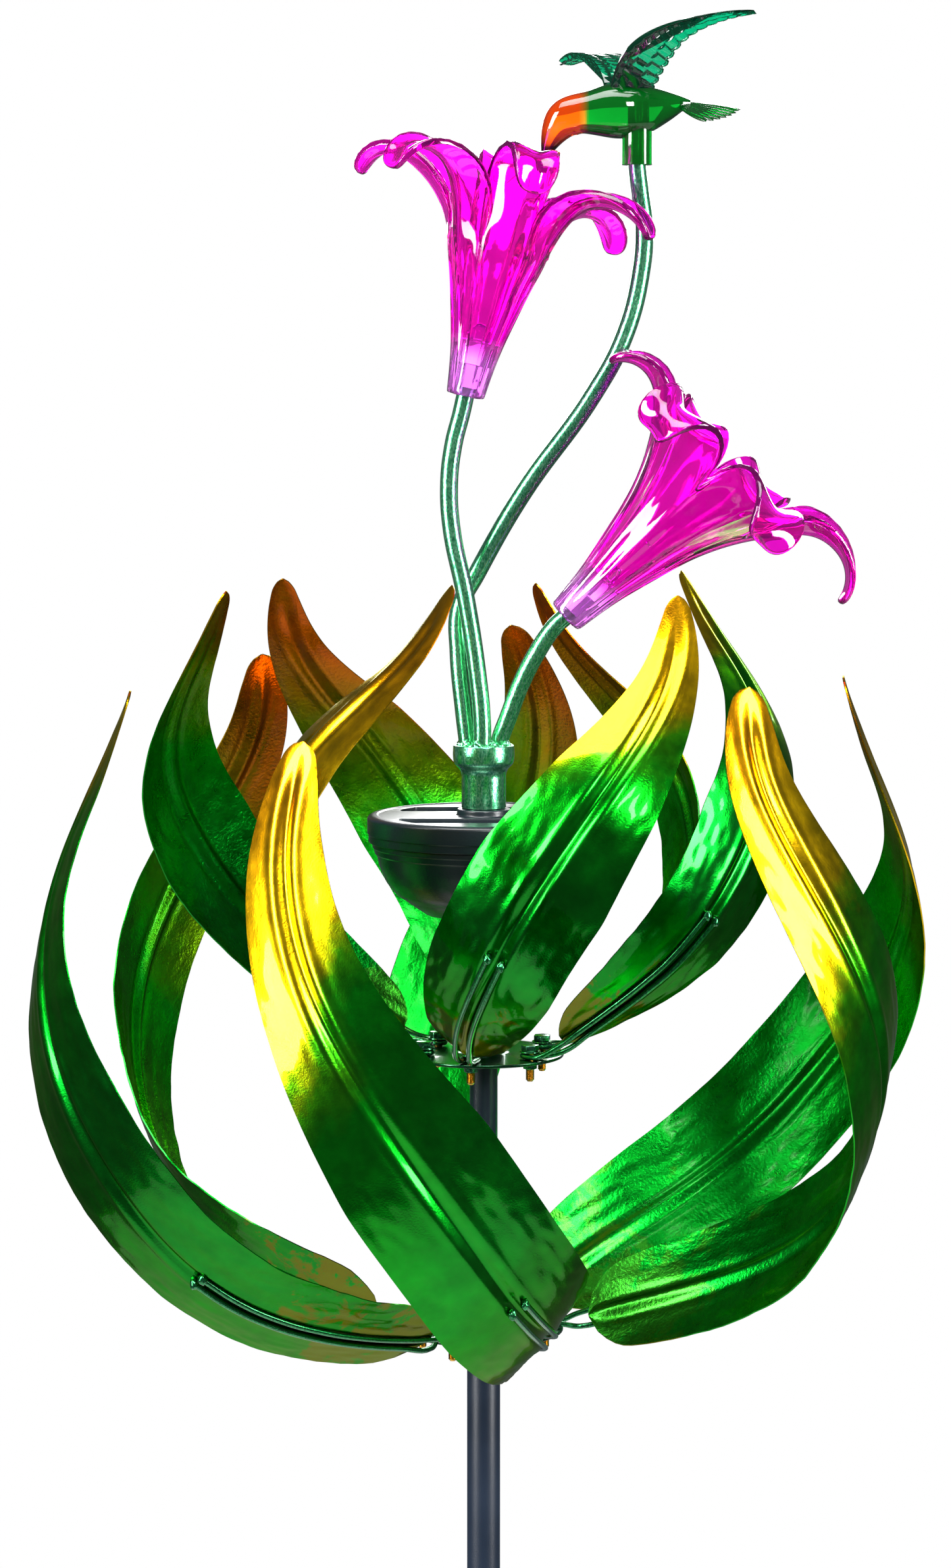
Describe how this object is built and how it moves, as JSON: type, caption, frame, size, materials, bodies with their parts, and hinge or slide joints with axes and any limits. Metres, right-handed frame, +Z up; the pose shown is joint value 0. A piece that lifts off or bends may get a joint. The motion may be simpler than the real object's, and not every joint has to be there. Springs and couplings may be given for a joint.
{
  "type": "garden wind spinner",
  "caption": "Garden stake wind spinner with two counter-turning tiers of leaf blades, a solar housing, translucent lilies and a hummingbird.",
  "frame": {"origin": "soil line, under the middle of the ground fork's crossbar", "axes": "+Z up along the pole, -Y towards the viewer, +X to the bird's side"},
  "size_m": [0.5286, 0.5503, 1.9031],
  "materials": {
    "leaf_enamel": "gloss metallic green enamel fading to gold",
    "green_paint": "metallic speckle",
    "brass_thread": "satin",
    "zinc_steel": "zinc plated",
    "pole_paint": "satin",
    "black_abs": "satin moulded",
    "rubber_button": "matte",
    "solar_glass": "gloss",
    "battery_sleeve": "shrink sleeve",
    "lily_acrylic": "translucent gloss",
    "bird_acrylic": "translucent gloss",
    "led_epoxy": "clear gloss"
  },
  "bodies": {
    "frame": {"ground_fork": "pole_paint", "pole_lower": "pole_paint", "pole_upper": "pole_paint", "axle_tube": "pole_paint", "housing_bowl": "black_abs", "housing_lid": "black_abs", "solar_panel": "solar_glass", "battery": "battery_sleeve", "socket_ferrule": "green_paint", "stem_bird": "green_paint", "stem_upper_lily": "green_paint", "stem_lower_lily": "green_paint", "lily_upper": "lily_acrylic", "lily_lower": "lily_acrylic", "led_upper": "led_epoxy", "led_lower": "led_epoxy", "bird_body": "bird_acrylic", "bird_wing_near": "bird_acrylic", "bird_wing_far": "bird_acrylic"},
    "lower_rotor": {"lower_hub": "green_paint", "lower_bearing": "zinc_steel", "lower_blade_1": "leaf_enamel", "lower_arm_1": "green_paint", "lower_bolt_1": "brass_thread", "lower_blade_2": "leaf_enamel", "lower_arm_2": "green_paint", "lower_bolt_2": "brass_thread", "lower_blade_3": "leaf_enamel", "lower_arm_3": "green_paint", "lower_bolt_3": "brass_thread", "lower_blade_4": "leaf_enamel", "lower_arm_4": "green_paint", "lower_bolt_4": "brass_thread", "lower_blade_5": "leaf_enamel", "lower_arm_5": "green_paint", "lower_bolt_5": "brass_thread", "lower_blade_6": "leaf_enamel", "lower_arm_6": "green_paint", "lower_bolt_6": "brass_thread"},
    "upper_rotor": {"upper_hub": "green_paint", "upper_bearing": "zinc_steel", "upper_blade_1": "leaf_enamel", "upper_arm_1": "green_paint", "upper_bolt_1": "brass_thread", "upper_blade_2": "leaf_enamel", "upper_arm_2": "green_paint", "upper_bolt_2": "brass_thread", "upper_blade_3": "leaf_enamel", "upper_arm_3": "green_paint", "upper_bolt_3": "brass_thread", "upper_blade_4": "leaf_enamel", "upper_arm_4": "green_paint", "upper_bolt_4": "brass_thread", "upper_blade_5": "leaf_enamel", "upper_arm_5": "green_paint", "upper_bolt_5": "brass_thread", "upper_blade_6": "leaf_enamel", "upper_arm_6": "green_paint", "upper_bolt_6": "brass_thread"},
    "switch": {"switch_button": "rubber_button"}
  },
  "joints": [
    {"name": "lower_spin", "type": "hinge", "parent": "frame", "child": "lower_rotor", "pos_m": [0, 0, 0.938], "axis": [0, 0, 1], "continuous": true},
    {"name": "upper_spin", "type": "hinge", "parent": "frame", "child": "upper_rotor", "pos_m": [0, 0, 1.1055], "axis": [0, 0, 1], "continuous": true},
    {"name": "switch_press", "type": "slide", "parent": "frame", "child": "switch", "axis": [0, 0, 1], "range_m": [0, 0.0015], "stiffness_N_per_m": 400}
  ]
}
